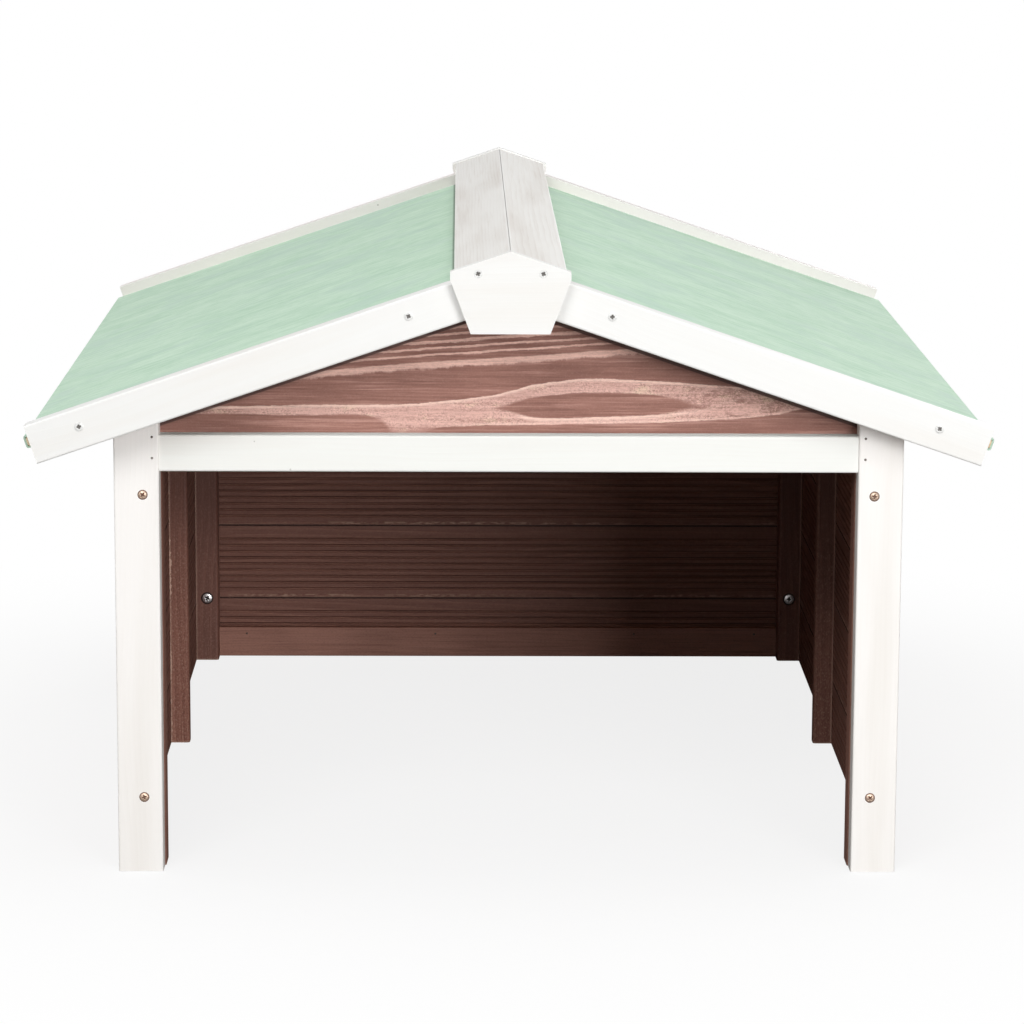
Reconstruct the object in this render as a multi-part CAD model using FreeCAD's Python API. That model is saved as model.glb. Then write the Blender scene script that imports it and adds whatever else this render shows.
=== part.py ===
# Robot mower garage: a low timber shelter, open at the front and at the floor, for one robot lawn mower.
# Two white posts and a white header frame the doorway, and a stained gable board closes the triangle over it.
# The side and back walls are tongued and grooved boards, milled with fine reeds on their inner face and held by
# upright battens. The roof is two thin boards under green felt, with white barge boards standing proud of the
# felt at both ends, and a ridge cap of two boards closed by six-sided plates.
# Millimetres. X runs to the right as seen from the doorway, Y from the doorway to the back wall, Z up.
# The origin lies on the ground, at the centre of the plan.
import FreeCAD, Part
import math
import os

Vector = FreeCAD.Vector

# House body
HOUSE_WIDTH = 594.0        # over the outer faces of the side walls
HOUSE_DEPTH = 780.0        # from the face of the posts to the outer face of the back wall
EAVE_HEIGHT = 353.0        # top of a side wall, at its outer face
ROOF_PITCH = 18.8          # degrees

# Wall boards
BOARD_THICKNESS = 10.0
BOARD_COVER = 70.5         # height that one whole board covers
STARTER_COVER = 56.0       # the lowest board is cut narrower
SMALLEST_STRIP = 12.0      # no narrower board is fitted under the eave
TONGUE_THICKNESS = 3.0
TONGUE_HEIGHT = 5.0
JOINT_CLEARANCE = 0.2      # round the tongue, and twice this between the shoulders
V_JOINT = 2.0              # bevel on each side of a joint, outside
INNER_OPENING = 1.2        # by which the inner shoulder is cut back, so that the joint shows as a line inside
REED_PITCH = 6.0           # fine grooves along the inner face
REED_WIDTH = 3.0
REED_DEPTH = 1.2
REED_MARGIN = 4.0          # plain strip under the last reed
PLAIN_BAND = 14.0          # plain strip over the first reed

# Upright battens inside the walls
FRONT_BATTEN_WIDTH = 25.0   # 1 mm of it shows past the post
REAR_BATTEN_WIDTH = 21.0
CORNER_BATTEN_DEPTH = 26.0
MIDDLE_BATTEN_WIDTH = 16.0
MIDDLE_BATTEN_DEPTH = 15.0
MIDDLE_BATTEN_SETBACK = 31.0   # its centre lies this far behind the centre of the plan
BATTEN_EASING = 2.5

# Rails inside the back wall
RAIL_HEIGHT = 28.0
RAIL_THICKNESS = 8.0
RAIL_EASING = 1.0

# Front frame
POST_WIDTH = 34.0
POST_THICKNESS = 17.0
HEADER_HEIGHT = 27.5
HEADER_RECESS = 2.0        # the header stands this far behind the face of the posts
HEADER_DROP = 15.5         # from the eave height down to the top of the header
GABLE_LAP = 25.0           # how far the front gable board reaches down behind the header
GABLE_THICKNESS = 10.0
SEAT_CLEARANCE = 0.3       # between the front gable board and the side walls
FRAME_EASING = 1.5

# Roof
ROOF_OVERHANG = 35.0       # from the house body to the face of a barge board, front and back
EAVE_OVERHANG = 63.0       # from the side of the house body to the upper tip of a barge board
ROOF_BOARD_THICKNESS = 7.0
FELT_THICKNESS = 1.5
FELT_RETURN = 30.0         # strip of felt folded under the eave
FELT_BEND = 2.0            # outer radius of that fold
EAVE_LAP = 6.0             # how far the felted edge runs out past the end of a barge board
RIDGE_GAP = 1.0            # between the two slopes at the ridge line

# Barge boards, and the battens under the roof boards that they are screwed to
BARGE_WIDTH = 30.0
BARGE_THICKNESS = 18.0
BARGE_RISE = 9.0           # how far a barge board stands over the felt
ROOF_BATTEN_THICKNESS = 12.0
ROOF_BATTEN_HEIGHT = 12.0
ROOF_BATTEN_SETBACK = 5.0  # its foot stops this far from the folded felt

# Ridge cap
CAP_BOARD_THICKNESS = 8.0
CAP_HALF_WIDTH = 42.0
CAP_JOINT = 0.4            # between the two cap boards
PLATE_THICKNESS = 10.0
PLATE_RISE = 1.0           # how far a plate stands over the cap boards
PLATE_LIP = 2.5            # how far a plate stands out beside them
PLATE_SHOULDER = 5.5       # upright part of a plate's side
PLATE_HEIGHT = 61.0
PLATE_FOOT_HALF_WIDTH = 29.3
SEAT_OFFSET = 24.0         # a screw's seat lies this far beside the ridge line
SEAT_DROP = 16.5           # and this far below the top of the plate
SEAT_RADIUS = 3.3
SEAT_DEPTH = 1.2

# Places that follow from the sizes
HALF_WIDTH = HOUSE_WIDTH / 2
HALF_DEPTH = HOUSE_DEPTH / 2
WALL_FACE = HALF_WIDTH - BOARD_THICKNESS
BACK_FACE = HALF_DEPTH - BOARD_THICKNESS
POST_BACK = -HALF_DEPTH + POST_THICKNESS
GABLE_BACK = POST_BACK + GABLE_THICKNESS
HEADER_TOP = EAVE_HEIGHT - HEADER_DROP
HEADER_FOOT = HEADER_TOP - HEADER_HEIGHT
GABLE_FOOT = HEADER_TOP - GABLE_LAP
PITCH = math.radians(ROOF_PITCH)
RIDGE_HEIGHT = EAVE_HEIGHT + HALF_WIDTH * math.tan(PITCH)
FELT_TOP = ROOF_BOARD_THICKNESS + FELT_THICKNESS
BARGE_TOP = FELT_TOP + BARGE_RISE
BARGE_FOOT = BARGE_TOP - BARGE_WIDTH
CAP_TOP = BARGE_TOP + CAP_BOARD_THICKNESS
BARGE_FACE = HALF_DEPTH + ROOF_OVERHANG
BARGE_BACK = BARGE_FACE - BARGE_THICKNESS


def roof_underside(x):
    """Height of the underside of the roof boards at a distance x from the ridge line."""
    return RIDGE_HEIGHT - abs(x) * math.tan(PITCH)


def slope_point(u, v):
    """(x, z) of a point u down the right-hand slope from the ridge and v square out from its underside."""
    return (u * math.cos(PITCH) + v * math.sin(PITCH), RIDGE_HEIGHT - u * math.sin(PITCH) + v * math.cos(PITCH))


def slope_distance(x, v):
    """Distance down the slope at which the layer at v stands over x."""
    return (x - v * math.sin(PITCH)) / math.cos(PITCH)


BARGE_END = slope_distance(HALF_WIDTH + EAVE_OVERHANG, BARGE_TOP)
FELT_END = BARGE_END + EAVE_LAP
ROOF_BOARD_END = FELT_END - FELT_THICKNESS
FELT_RETURN_START = FELT_END - FELT_RETURN


def prism_along_y(outline, start, end):
    """Solid of an outline of (x, z) points, from Y = start to Y = end."""
    wire = Part.makePolygon([Vector(x, start, z) for x, z in outline + outline[:1]])
    return Part.Face(wire).extrude(Vector(0, end - start, 0))


def prism_along_x(outline, start, end):
    """Solid of an outline of (y, z) points, from X = start to X = end."""
    wire = Part.makePolygon([Vector(start, y, z) for y, z in outline + outline[:1]])
    return Part.Face(wire).extrude(Vector(end - start, 0, 0))


def box(low, high):
    """Block between two opposite corners."""
    size = [b - a for a, b in zip(low, high)]
    return Part.makeBox(*size, Vector(*low))


def mirrored(shape):
    """The same piece on the left-hand side."""
    return shape.mirror(Vector(0, 0, 0), Vector(1, 0, 0))


def eased(solid, radius, direction, wanted=lambda middle: True):
    """Solid with its edges along a direction rounded, where their middle point is wanted."""
    edges = []
    for edge in solid.Edges:
        first, last = edge.Vertexes[0].Point, edge.Vertexes[-1].Point
        along = last.sub(first)
        if along.Length > 1e-6 and along.normalize().cross(direction).Length < 1e-6:
            if wanted(first.add(last).multiply(0.5)):
                edges.append(edge)
    return solid.makeFillet(radius, edges)


def course_seams():
    """Heights of the joints between the wall boards, from the lowest up."""
    whole_boards = int((EAVE_HEIGHT - STARTER_COVER - SMALLEST_STRIP) / BOARD_COVER)
    return [STARTER_COVER + i * BOARD_COVER for i in range(whole_boards + 1)]


def reed_heights(foot, head):
    """Heights of the reeds milled in the inner face of a board."""
    room = head - PLAIN_BAND - foot - REED_MARGIN
    return [head - PLAIN_BAND - i * REED_PITCH for i in range(math.floor(room / REED_PITCH) + 1)][::-1]


def board_outline(foot, head, grooved, tongued):
    """Section of one wall board as (depth, z), with the depth counted inwards from its outer face."""
    middle = BOARD_THICKNESS / 2
    slot = TONGUE_THICKNESS / 2 + JOINT_CLEARANCE
    tongue = TONGUE_THICKNESS / 2
    outline = []
    if grooved:
        slot_top = foot + TONGUE_HEIGHT + JOINT_CLEARANCE
        outline += [(0, foot + V_JOINT), (V_JOINT, foot), (middle - slot, foot), (middle - slot, slot_top)]
        outline += [(middle + slot, slot_top), (middle + slot, foot), (BOARD_THICKNESS, foot)]
    else:
        outline += [(0, foot), (BOARD_THICKNESS, foot)]
    for z in reed_heights(foot, head):
        outline += [(BOARD_THICKNESS, z - REED_WIDTH / 2), (BOARD_THICKNESS - REED_DEPTH, z)]
        outline += [(BOARD_THICKNESS, z + REED_WIDTH / 2)]
    if tongued:
        tip = head + TONGUE_HEIGHT
        shoulder = head - INNER_OPENING
        outline += [(BOARD_THICKNESS, shoulder), (middle + tongue, shoulder), (middle + tongue, tip)]
        outline += [(middle - tongue, tip), (middle - tongue, head), (V_JOINT, head), (0, head - V_JOINT)]
    else:
        outline += [(BOARD_THICKNESS, head + BOARD_THICKNESS * math.tan(PITCH)), (0, head)]
    return outline


def board_courses():
    """(foot, head) of each board below the top joint. Two boards stand two clearances apart."""
    seams = course_seams()
    feet = [0.0] + [seam + JOINT_CLEARANCE for seam in seams[:-1]]
    heads = [seam - JOINT_CLEARANCE for seam in seams]
    return list(zip(feet, heads))


def side_wall_boards():
    """Right-hand wall: one board over another, the top one bevelled to carry the roof."""
    outlines = [board_outline(foot, head, foot > 0, True) for foot, head in board_courses()]
    top_foot = course_seams()[-1] + JOINT_CLEARANCE
    outlines.append(board_outline(top_foot, EAVE_HEIGHT, True, False))
    boards = []
    for outline in outlines:
        across = [(HALF_WIDTH - depth, z) for depth, z in outline]
        boards.append(prism_along_y(across, POST_BACK, BACK_FACE))
    return Part.makeCompound(boards)


def back_wall_boards():
    """Back wall below the gable board. It covers the ends of the side walls."""
    boards = []
    for foot, head in board_courses():
        across = [(HALF_DEPTH - depth, z) for depth, z in board_outline(foot, head, foot > 0, True)]
        boards.append(prism_along_x(across, -HALF_WIDTH, HALF_WIDTH))
    return Part.makeCompound(boards)


def gable_outline(half_width, foot):
    """Five-sided board whose top edges follow the underside of the roof."""
    shoulder = roof_underside(half_width)
    return [(-half_width, foot), (half_width, foot), (half_width, shoulder), (0, RIDGE_HEIGHT), (-half_width, shoulder)]


def back_gable_board():
    """Gable board over the back wall, grooved to sit on the tongue of the highest wall board."""
    foot = course_seams()[-1] + JOINT_CLEARANCE
    board = prism_along_y(gable_outline(HALF_WIDTH, foot), BACK_FACE, HALF_DEPTH)
    middle = HALF_DEPTH - BOARD_THICKNESS / 2
    slot = TONGUE_THICKNESS / 2 + JOINT_CLEARANCE
    slot_top = foot + TONGUE_HEIGHT + JOINT_CLEARANCE
    groove = box((-HALF_WIDTH - 1, middle - slot, foot - 1), (HALF_WIDTH + 1, middle + slot, slot_top))
    return board.cut(groove)


def front_gable_board():
    """Gable board behind the header and the posts, between the side walls."""
    return prism_along_y(gable_outline(WALL_FACE - SEAT_CLEARANCE, GABLE_FOOT), POST_BACK, GABLE_BACK)


def front_post():
    """Right-hand post of the doorway, cut off at the top along the roof."""
    inner = HALF_WIDTH - POST_WIDTH
    outline = [(inner, 0), (HALF_WIDTH, 0), (HALF_WIDTH, EAVE_HEIGHT), (inner, roof_underside(inner))]
    post = prism_along_y(outline, -HALF_DEPTH, POST_BACK)
    return eased(post, FRAME_EASING, Vector(0, 0, 1), lambda middle: middle.y < -HALF_DEPTH + 1)


def front_header():
    """Rail over the doorway, between the posts."""
    inner = HALF_WIDTH - POST_WIDTH
    header = box((-inner, -HALF_DEPTH + HEADER_RECESS, HEADER_FOOT), (inner, POST_BACK, HEADER_TOP))
    face = -HALF_DEPTH + HEADER_RECESS + 1
    return eased(header, FRAME_EASING, Vector(1, 0, 0), lambda middle: middle.y < face)


def upright_batten(width, near, far, head=None):
    """Right-hand batten against the wall boards. Its top follows the roof unless a head is given."""
    inner = WALL_FACE - width
    inner_head = roof_underside(inner) if head is None else head
    outer_head = roof_underside(WALL_FACE) if head is None else head
    batten = prism_along_y([(inner, 0), (WALL_FACE, 0), (WALL_FACE, outer_head), (inner, inner_head)], near, far)
    return eased(batten, BATTEN_EASING, Vector(0, 0, 1), lambda middle: middle.x < inner + 1)


def front_batten():
    """Corner batten that the post is screwed to. The front gable board stands on it."""
    return upright_batten(FRONT_BATTEN_WIDTH, POST_BACK, POST_BACK + CORNER_BATTEN_DEPTH, GABLE_FOOT)


def middle_batten():
    """Batten that ties the side wall's boards together, a little behind the middle."""
    near = MIDDLE_BATTEN_SETBACK - MIDDLE_BATTEN_DEPTH / 2
    return upright_batten(MIDDLE_BATTEN_WIDTH, near, near + MIDDLE_BATTEN_DEPTH)


def rear_batten():
    """Corner batten that is screwed to the back wall from inside."""
    return upright_batten(REAR_BATTEN_WIDTH, BACK_FACE - CORNER_BATTEN_DEPTH, BACK_FACE)


def back_rail(foot):
    """Rail across the inside of the back wall, between the rear battens."""
    end = WALL_FACE - REAR_BATTEN_WIDTH
    rail = box((-end, BACK_FACE - RAIL_THICKNESS, foot), (end, BACK_FACE, foot + RAIL_HEIGHT))
    face = BACK_FACE - RAIL_THICKNESS + 1
    return eased(rail, RAIL_EASING, Vector(1, 0, 0), lambda middle: middle.y < face)


def slope_layer(low, high, end, near, far, gap=RIDGE_GAP):
    """Right-hand layer of the roof: plumb at the ridge, square at the eave, from Y = near to Y = far."""
    start = gap / 2
    corners = [(slope_distance(start, low), low), (end, low), (end, high), (slope_distance(start, high), high)]
    return prism_along_y([slope_point(u, v) for u, v in corners], near, far)


def roof_board():
    """Thin board of the right-hand slope, between the barge boards."""
    return slope_layer(0, ROOF_BOARD_THICKNESS, ROOF_BOARD_END, -BARGE_BACK, BARGE_BACK)


def roof_felt():
    """Felt over the roof board, folded round its edge and under the eave."""
    start = slope_distance(RIDGE_GAP / 2, ROOF_BOARD_THICKNESS)
    corners = [(start, ROOF_BOARD_THICKNESS), (ROOF_BOARD_END, ROOF_BOARD_THICKNESS), (ROOF_BOARD_END, 0)]
    corners += [(FELT_RETURN_START, 0), (FELT_RETURN_START, -FELT_THICKNESS), (FELT_END, -FELT_THICKNESS)]
    corners += [(FELT_END, FELT_TOP), (slope_distance(RIDGE_GAP / 2, FELT_TOP), FELT_TOP)]
    felt = prism_along_y([slope_point(u, v) for u, v in corners], -BARGE_BACK, BARGE_BACK)
    fold = slope_point(FELT_END, 0)[0] - FELT_THICKNESS
    return eased(felt, FELT_BEND, Vector(0, 1, 0), lambda middle: middle.x > fold)


def barge_board(near, far):
    """Right-hand barge board, square at its eave end and plumb at the ridge."""
    board = slope_layer(BARGE_FOOT, BARGE_TOP, BARGE_END, near, far)
    face = min(near, far, key=lambda y: -abs(y))
    down = Vector(math.cos(PITCH), 0, -math.sin(PITCH))
    return eased(board, FRAME_EASING, down, lambda middle: abs(middle.y - face) < 1)


def roof_batten(near, far):
    """Batten under the roof board, behind a barge board."""
    end = FELT_RETURN_START - ROOF_BATTEN_SETBACK
    return slope_layer(-ROOF_BATTEN_HEIGHT, 0, end, near, far)


def cap_board():
    """Right-hand board of the ridge cap. It lies on the top edges of the barge boards."""
    end = slope_distance(CAP_HALF_WIDTH, CAP_TOP)
    board = slope_layer(BARGE_TOP, CAP_TOP, end, -BARGE_FACE, BARGE_FACE, CAP_JOINT)
    outer_edge = slope_point(end, CAP_TOP)[0] - 1
    top_edge = slope_point(end, CAP_TOP)[1] - 1
    return eased(board, FRAME_EASING, Vector(0, 1, 0), lambda m: m.x > outer_edge and m.z > top_edge)


def screw_seat(x, face, z):
    """Countersink for the head of a screw in the outer face of a ridge plate."""
    outward = Vector(0, math.copysign(1, face), 0)
    floor = Vector(x, face - outward.y * SEAT_DEPTH, z)
    return Part.makeCone(SEAT_RADIUS - SEAT_DEPTH, SEAT_RADIUS, SEAT_DEPTH, floor, outward)


def ridge_plate(near, far):
    """Six-sided plate that closes an end of the ridge cap, with seats for its two screws."""
    half = CAP_HALF_WIDTH + PLATE_LIP
    apex = slope_point(slope_distance(0, CAP_TOP), CAP_TOP)[1] + PLATE_RISE
    corner = apex - half * math.tan(PITCH)
    foot = apex - PLATE_HEIGHT
    right = [(PLATE_FOOT_HALF_WIDTH, foot), (half, corner - PLATE_SHOULDER), (half, corner)]
    left = [(-x, z) for x, z in reversed(right)]
    plate = prism_along_y(right + [(0, apex)] + left, near, far)
    face = max(near, far, key=abs)
    for x in (-SEAT_OFFSET, SEAT_OFFSET):
        plate = plate.cut(screw_seat(x, face, apex - SEAT_DROP))
    return plate


def build():
    """Every piece of the garage, by name."""
    pieces = {
        "front_header": front_header(),
        "front_gable_board": front_gable_board(),
        "back_wall_boards": back_wall_boards(),
        "back_gable_board": back_gable_board(),
        "back_bottom_rail": back_rail(0),
        "back_top_rail": back_rail(course_seams()[-1] - RAIL_HEIGHT / 2),
        "front_ridge_plate": ridge_plate(-BARGE_FACE - PLATE_THICKNESS, -BARGE_FACE),
        "back_ridge_plate": ridge_plate(BARGE_FACE, BARGE_FACE + PLATE_THICKNESS),
    }
    right_hand = {
        "front_post": front_post(),
        "wall_boards": side_wall_boards(),
        "front_batten": front_batten(),
        "middle_batten": middle_batten(),
        "rear_batten": rear_batten(),
        "roof_board": roof_board(),
        "roof_felt": roof_felt(),
        "front_barge_board": barge_board(-BARGE_FACE, -BARGE_BACK),
        "back_barge_board": barge_board(BARGE_BACK, BARGE_FACE),
        "front_roof_batten": roof_batten(-BARGE_BACK, -BARGE_BACK + ROOF_BATTEN_THICKNESS),
        "back_roof_batten": roof_batten(BARGE_BACK - ROOF_BATTEN_THICKNESS, BARGE_BACK),
        "ridge_cap_board": cap_board(),
    }
    for name, shape in right_hand.items():
        pieces["right_" + name] = shape
        pieces["left_" + name] = mirrored(shape)
    return pieces


os.makedirs("parts", exist_ok=True)
for node, piece in build().items():
    piece.exportStep(f"parts/{node}.step")
    print(f"{node}: {len(piece.Solids)} solids, {piece.Volume / 1000:.1f} cm3, valid {piece.isValid()}")
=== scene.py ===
"""Looks of a low timber garage for a robot lawn mower: finishes, fasteners, studio and camera.

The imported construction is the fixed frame. Lengths are metres. X runs to the right as seen from the
doorway, Y from the doorway to the back wall, and Z up from the ground.
"""
import logging
import math
from dataclasses import dataclass, field
from enum import Enum
from typing import TypeAlias

import bpy
from mathutils import Matrix, Vector


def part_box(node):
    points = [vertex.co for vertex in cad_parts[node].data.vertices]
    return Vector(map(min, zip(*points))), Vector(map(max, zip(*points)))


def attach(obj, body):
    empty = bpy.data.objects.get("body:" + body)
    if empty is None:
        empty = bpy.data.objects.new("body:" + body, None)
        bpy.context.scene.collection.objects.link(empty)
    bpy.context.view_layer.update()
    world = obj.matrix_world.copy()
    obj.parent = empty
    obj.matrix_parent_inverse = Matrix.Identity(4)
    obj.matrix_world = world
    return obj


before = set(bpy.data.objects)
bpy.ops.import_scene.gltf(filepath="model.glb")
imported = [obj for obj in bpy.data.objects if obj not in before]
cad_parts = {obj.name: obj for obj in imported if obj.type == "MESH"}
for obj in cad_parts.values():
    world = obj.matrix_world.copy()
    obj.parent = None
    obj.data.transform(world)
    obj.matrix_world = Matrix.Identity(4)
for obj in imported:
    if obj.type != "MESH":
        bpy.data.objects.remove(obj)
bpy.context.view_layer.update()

log = logging.getLogger("mower_garage")

Colour = tuple[float, float, float]
Number: TypeAlias = "Signal | float"


def screen_colour(red: int, green: int, blue: int) -> Colour:
    """Turn a colour as a screen shows it, 0 to 255, into linear light.

    Args:
        red: Red, 0 to 255.
        green: Green, 0 to 255.
        blue: Blue, 0 to 255.

    Returns:
        The three linear values, 0 to 1.
    """
    linear = []
    for part in (red / 255, green / 255, blue / 255):
        linear.append(part / 12.92 if part <= 0.04045 else ((part + 0.055) / 1.055) ** 2.4)
    return (linear[0], linear[1], linear[2])


class Signal:
    """A value in a node tree that is added, multiplied and shaped like a number."""

    def __init__(self, tree: "Tree", socket: bpy.types.NodeSocket) -> None:
        """Keep the socket and the tree that it belongs to."""
        self.tree = tree
        self.socket = socket

    def math(self, operation: str, *others: Number) -> "Signal":
        """Apply one of Blender's maths operations.

        Args:
            operation: Name of the operation, such as "MULTIPLY".
            *others: The further operands, signals or plain numbers.

        Returns:
            The result.
        """
        node = self.tree.node("ShaderNodeMath", operation=operation)
        for socket, value in zip(node.inputs, (self, *others)):
            self.tree.feed(socket, value)
        return Signal(self.tree, node.outputs[0])

    def __add__(self, other: Number) -> "Signal":
        """Sum."""
        return self.math("ADD", other)

    def __sub__(self, other: Number) -> "Signal":
        """Difference."""
        return self.math("SUBTRACT", other)

    def __mul__(self, other: Number) -> "Signal":
        """Product."""
        return self.math("MULTIPLY", other)

    def __truediv__(self, other: Number) -> "Signal":
        """Quotient."""
        return self.math("DIVIDE", other)

    def power(self, exponent: float) -> "Signal":
        """Raise to a power."""
        return self.math("POWER", exponent)

    def fraction(self) -> "Signal":
        """Part after the decimal point."""
        return self.math("FRACT")

    def absolute(self) -> "Signal":
        """Distance from nought."""
        return self.math("ABSOLUTE")

    def floor(self) -> "Signal":
        """Whole number below."""
        return self.math("FLOOR")

    def least(self, other: Number) -> "Signal":
        """Smaller of two values."""
        return self.math("MINIMUM", other)

    def most(self, other: Number) -> "Signal":
        """Larger of two values."""
        return self.math("MAXIMUM", other)

    def inverse(self) -> "Signal":
        """One minus the value."""
        node = self.tree.node("ShaderNodeMath", operation="SUBTRACT")
        node.inputs[0].default_value = 1.0
        self.tree.feed(node.inputs[1], self)
        return Signal(self.tree, node.outputs[0])

    def ease(self, low: Number, high: Number, start: Number = 0.0, end: Number = 1.0) -> "Signal":
        """Carry a range smoothly over to another and hold it beyond both ends.

        Args:
            low: Value that gives the start.
            high: Value that gives the end.
            start: Result at the low value.
            end: Result at the high value.

        Returns:
            The eased value.
        """
        node = self.tree.node("ShaderNodeMapRange", interpolation_type="SMOOTHSTEP")
        for socket, value in zip(node.inputs, (self, low, high, start, end)):
            self.tree.feed(socket, value)
        return Signal(self.tree, node.outputs[0])


class Tree:
    """A shader node tree, with short ways to add the nodes that the finishes use."""

    def __init__(self, nodes: bpy.types.NodeTree) -> None:
        """Wrap a material's or a group's node tree."""
        self.nodes = nodes

    def node(self, kind: str, **settings: object) -> bpy.types.Node:
        """Add a node.

        Args:
            kind: Blender's name for the kind of node.
            **settings: Properties to set on it.

        Returns:
            The new node.
        """
        made = self.nodes.nodes.new(kind)
        for name, value in settings.items():
            setattr(made, name, value)
        return made

    def feed(self, socket: bpy.types.NodeSocket, value: object) -> None:
        """Link a signal to a socket, or set a plain value on it.

        Args:
            socket: The input socket.
            value: A signal, a number, or a colour or vector of plain numbers.
        """
        if isinstance(value, Signal):
            self.nodes.links.new(value.socket, socket)
        elif isinstance(value, tuple) and len(value) == 3 and socket.type == "RGBA":
            socket.default_value = (*value, 1.0)
        else:
            socket.default_value = value

    def position(self) -> Signal:
        """Place of the shaded point in the garage's own frame."""
        return Signal(self, self.node("ShaderNodeTexCoord").outputs["Object"])

    def normal(self) -> Signal:
        """Direction that the surface faces."""
        return Signal(self, self.node("ShaderNodeNewGeometry").outputs["Normal"])

    def dot(self, vector: Signal, other: object) -> Signal:
        """Share of one vector along another.

        Args:
            vector: The vector signal.
            other: A vector signal, or three plain numbers.

        Returns:
            Their dot product.
        """
        node = self.node("ShaderNodeVectorMath", operation="DOT_PRODUCT")
        self.feed(node.inputs[0], vector)
        self.feed(node.inputs[1], other)
        return Signal(self, node.outputs["Value"])

    def vector(self, x: Number, y: Number, z: Number) -> Signal:
        """Vector made of three values."""
        node = self.node("ShaderNodeCombineXYZ")
        for socket, value in zip(node.inputs, (x, y, z)):
            self.feed(socket, value)
        return Signal(self, node.outputs[0])

    def noise(self, vector: Signal, scale: Number, detail: float = 2.0, rough: float = 0.5,
              twist: float = 0.0) -> Signal:
        """Soft random pattern.

        Args:
            vector: Where it is read.
            scale: Cells to a metre.
            detail: Octaves of finer pattern.
            rough: Strength of the finer octaves.
            twist: Distortion of the pattern by itself.

        Returns:
            A value about 0.5, from 0 to 1.
        """
        node = self.node("ShaderNodeTexNoise")
        self.feed(node.inputs["Vector"], vector)
        self.feed(node.inputs["Scale"], scale)
        self.feed(node.inputs["Detail"], detail)
        self.feed(node.inputs["Roughness"], rough)
        self.feed(node.inputs["Distortion"], twist)
        return Signal(self, node.outputs["Fac"])

    def curve(self, value: Signal, points: tuple[tuple[float, float], ...]) -> Signal:
        """Read a smooth curve drawn through points.

        Args:
            value: Where it is read.
            points: (value, height) of each point, from the lowest value up.

        Returns:
            Its height there, held level beyond both ends.
        """
        start, end = points[0][0], points[-1][0]
        heights = [height for _, height in points]
        low, high = min(heights), max(heights)
        node = self.node("ShaderNodeFloatCurve")
        line = node.mapping.curves[0]
        while len(line.points) < len(points):
            line.points.new(0.5, 0.5)
        for mark, (at, height) in zip(line.points, points):
            mark.location = ((at - start) / (end - start), (height - low) / (high - low))
        node.mapping.update()
        self.feed(node.inputs["Value"], (value - start) / (end - start))
        return Signal(self, node.outputs["Value"]) * (high - low) + low

    def cells(self, vector: Signal, scale: float) -> Signal:
        """Distance from the nearest of many scattered points, in cell sizes."""
        node = self.node("ShaderNodeTexVoronoi")
        self.feed(node.inputs["Vector"], vector)
        self.feed(node.inputs["Scale"], scale)
        return Signal(self, node.outputs["Distance"])

    def random(self, value: Signal) -> Signal:
        """Fixed random number, 0 to 1, for each whole number."""
        node = self.node("ShaderNodeTexWhiteNoise", noise_dimensions="1D")
        self.feed(node.inputs["W"], value)
        return Signal(self, node.outputs["Value"])

    def mix(self, share: Number, low: object, high: object, blend: str = "MIX") -> Signal:
        """Blend two colours.

        Args:
            share: Share of the second colour.
            low: First colour.
            high: Second colour.
            blend: Blender's name for the way that they blend.

        Returns:
            The blended colour.
        """
        node = self.node("ShaderNodeMix", data_type="RGBA", blend_type=blend)
        self.feed(node.inputs["Factor"], share)
        self.feed(node.inputs["A"], low)
        self.feed(node.inputs["B"], high)
        return Signal(self, node.outputs["Result"])

    def bump(self, height: Signal, depth: float) -> Signal:
        """Normal of a surface with small relief.

        Args:
            height: Relief, 0 to 1.
            depth: Its full depth in metres.

        Returns:
            The bumped normal.
        """
        node = self.node("ShaderNodeBump")
        node.inputs["Strength"].default_value = 1.0
        node.inputs["Distance"].default_value = depth
        self.feed(node.inputs["Height"], height)
        return Signal(self, node.outputs["Normal"])

    def effect(self, group: bpy.types.NodeTree, **values: object) -> dict[str, Signal]:
        """Place a shared effect.

        Args:
            group: The effect's node group.
            **values: Its inputs by name, with underscores for spaces.

        Returns:
            Its outputs by name.
        """
        node = self.node("ShaderNodeGroup", node_tree=group)
        for name, value in values.items():
            self.feed(node.inputs[name.replace("_", " ")], value)
        return {output.name: Signal(self, output) for output in node.outputs}


class Effect:
    """A shader node group under construction."""

    def __init__(self, name: str, inputs: dict[str, tuple[str, float | None]], outputs: list[str]) -> None:
        """Open a group.

        Args:
            name: Its name.
            inputs: Kind of socket and first value of each input, by name.
            outputs: Names of its outputs, which are all plain values.
        """
        self.group = bpy.data.node_groups.new(name, "ShaderNodeTree")
        self.tree = Tree(self.group)
        for label, (kind, value) in inputs.items():
            socket = self.group.interface.new_socket(label, in_out="INPUT", socket_type=kind)
            if value is not None:
                socket.default_value = value
        for label in outputs:
            self.group.interface.new_socket(label, in_out="OUTPUT", socket_type="NodeSocketFloat")
        self.start = self.tree.node("NodeGroupInput")
        self.end = self.tree.node("NodeGroupOutput")

    def read(self, label: str) -> Signal:
        """Input of that name, inside the group."""
        return Signal(self.tree, self.start.outputs[label])

    def give(self, label: str, value: Signal) -> None:
        """Send a value to the output of that name."""
        self.tree.feed(self.end.inputs[label], value)


FLOAT = "NodeSocketFloat"
VECTOR = "NodeSocketVector"


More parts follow.
